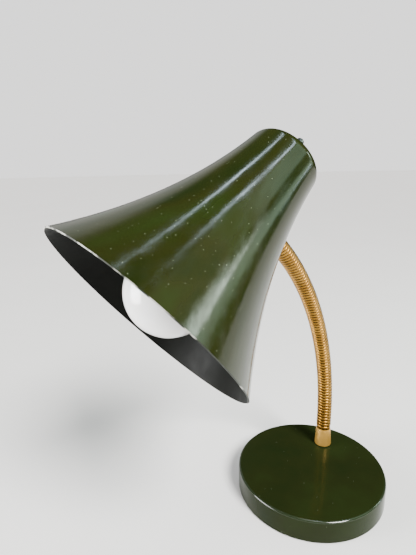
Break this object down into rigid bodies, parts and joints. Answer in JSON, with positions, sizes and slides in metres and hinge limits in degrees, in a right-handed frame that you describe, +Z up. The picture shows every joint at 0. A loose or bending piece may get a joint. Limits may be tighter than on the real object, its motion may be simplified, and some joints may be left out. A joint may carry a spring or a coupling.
{
  "type": "gooseneck desk lamp",
  "caption": "Desk lamp with a round weighted base, a flexible brass neck and a deep flared green enamelled shade around a globe bulb, with a push switch in its cap.",
  "frame": {"origin": "centre of the base on the surface that the lamp stands on", "axes": "+Z up; the neck stands at the back of the base (+Y) and leans forward, and the shade opens forward and down (-Y, -Z)"},
  "size_m": [0.2065, 0.2979, 0.3383],
  "materials": {
    "green_enamel": "dark olive green stoved enamel, glossy, with fine dust and light scuffs",
    "neck_brass": "lacquered brass, satin on the crests and darker in the grooves",
    "contact_brass": "plain pressed brass",
    "zinc_steel": "zinc plated steel, dull",
    "grey_metal": "grey nickel plate, satin",
    "cast_iron": "rough black painted casting",
    "felt": "dark green wool felt",
    "black_rubber": "black moulded rubber",
    "ceramic": "glazed off-white steatite",
    "opal_glass": "opal white glass, smooth",
    "black_glass": "black vitrified glass",
    "black_bakelite": "black phenolic moulding",
    "lead_sheath": "cream insulated leads"
  },
  "bodies": {
    "base": {"base_shell": "green_enamel", "base_weight": "cast_iron", "base_plate": "zinc_steel", "felt_pad": "felt", "plate_screw_1": "zinc_steel", "plate_screw_2": "zinc_steel", "plate_screw_3": "zinc_steel", "cable_gland": "black_rubber", "gland_nut": "zinc_steel", "terminal_block": "ceramic", "terminal_screw_1": "contact_brass", "terminal_screw_2": "contact_brass", "supply_lead": "lead_sheath", "riser_lead": "lead_sheath", "foot_ferrule": "neck_brass", "foot_tube": "zinc_steel", "foot_washer": "zinc_steel", "foot_nut": "zinc_steel", "neck_stub": "neck_brass"},
    "neck_1": {"neck_link_1": "neck_brass"},
    "neck_2": {"neck_link_2": "neck_brass"},
    "neck_3": {"neck_link_3": "neck_brass"},
    "neck_4": {"neck_link_4": "neck_brass"},
    "neck_5": {"neck_link_5": "neck_brass"},
    "neck_6": {"neck_link_6": "neck_brass"},
    "neck_7": {"neck_link_7": "neck_brass"},
    "neck_8": {"neck_link_8": "neck_brass", "head_ferrule": "neck_brass", "head_tube": "zinc_steel"},
    "head": {"head_washer": "neck_brass", "bracket": "zinc_steel", "bracket_washer": "zinc_steel", "bracket_nut": "zinc_steel", "shade": "green_enamel", "bulb_glass": "opal_glass", "bulb_cap": "contact_brass", "bulb_insulator": "black_glass", "bulb_contact": "zinc_steel", "lampholder_body": "black_bakelite", "lampholder_thread": "contact_brass", "lampholder_insulator": "ceramic", "centre_contact": "contact_brass", "lampholder_tube": "zinc_steel", "lampholder_nut": "zinc_steel", "switch_body": "black_bakelite", "switch_nut": "zinc_steel", "switch_washer": "zinc_steel", "switch_ring_nut": "grey_metal", "live_lead": "lead_sheath", "neutral_lead": "lead_sheath", "switched_lead": "lead_sheath"},
    "button": {"push_button": "grey_metal"}
  },
  "joints": [
    {"name": "neck_lower_nod", "type": "hinge", "parent": "base", "child": "neck_1", "pos_m": [0, 0.0414, 0.05777], "axis": [0.9799, -0.1994, 0], "range_deg": [-15, 10]},
    {"name": "neck_lower_sway", "type": "hinge", "parent": "neck_1", "child": "neck_2", "pos_m": [-0.00033, 0.03977, 0.08805], "axis": [-0.198, -0.9733, -0.1162], "range_deg": [-12, 12]},
    {"name": "neck_lower_nod_follow", "type": "hinge", "parent": "neck_2", "child": "neck_3", "pos_m": [-0.0014, 0.03451, 0.11789], "axis": [0.9799, -0.1994, 0], "range_deg": [-15, 10]},
    {"name": "neck_lower_sway_follow", "type": "hinge", "parent": "neck_3", "child": "neck_4", "pos_m": [-0.0032, 0.02569, 0.14685], "axis": [-0.1864, -0.9161, -0.3551], "range_deg": [-12, 12]},
    {"name": "neck_upper_nod", "type": "hinge", "parent": "neck_4", "child": "neck_5", "pos_m": [-0.00569, 0.01345, 0.17448], "axis": [0.9799, -0.1994, 0], "range_deg": [-15, 10]},
    {"name": "neck_upper_sway", "type": "hinge", "parent": "neck_5", "child": "neck_6", "pos_m": [-0.00884, -0.00203, 0.20036], "axis": [-0.1634, -0.8034, -0.5726], "range_deg": [-12, 12]},
    {"name": "neck_upper_nod_follow", "type": "hinge", "parent": "neck_6", "child": "neck_7", "pos_m": [-0.0126, -0.02052, 0.2241], "axis": [0.9799, -0.1994, 0], "range_deg": [-15, 10]},
    {"name": "neck_upper_sway_follow", "type": "hinge", "parent": "neck_7", "child": "neck_8", "pos_m": [-0.01691, -0.04172, 0.24535], "axis": [-0.1329, -0.6534, -0.7453], "range_deg": [-12, 12]},
    {"name": "head_swivel", "type": "hinge", "parent": "neck_8", "child": "head", "pos_m": [-0.02147, -0.06414, 0.26343], "axis": [-0.1584, -0.7785, 0.6074], "range_deg": [-90, 90]},
    {"name": "button_press", "type": "slide", "parent": "head", "child": "button", "axis": [-0.2952, -0.7204, -0.6276], "range_m": [0, 0.003], "stiffness_N_per_m": 500, "springref_m": -0.002}
  ],
  "couplings": [
    {"joint": "neck_lower_nod_follow", "follows": "neck_lower_nod", "ratio": 1},
    {"joint": "neck_lower_sway_follow", "follows": "neck_lower_sway", "ratio": 1},
    {"joint": "neck_upper_nod_follow", "follows": "neck_upper_nod", "ratio": 1},
    {"joint": "neck_upper_sway_follow", "follows": "neck_upper_sway", "ratio": 1}
  ]
}
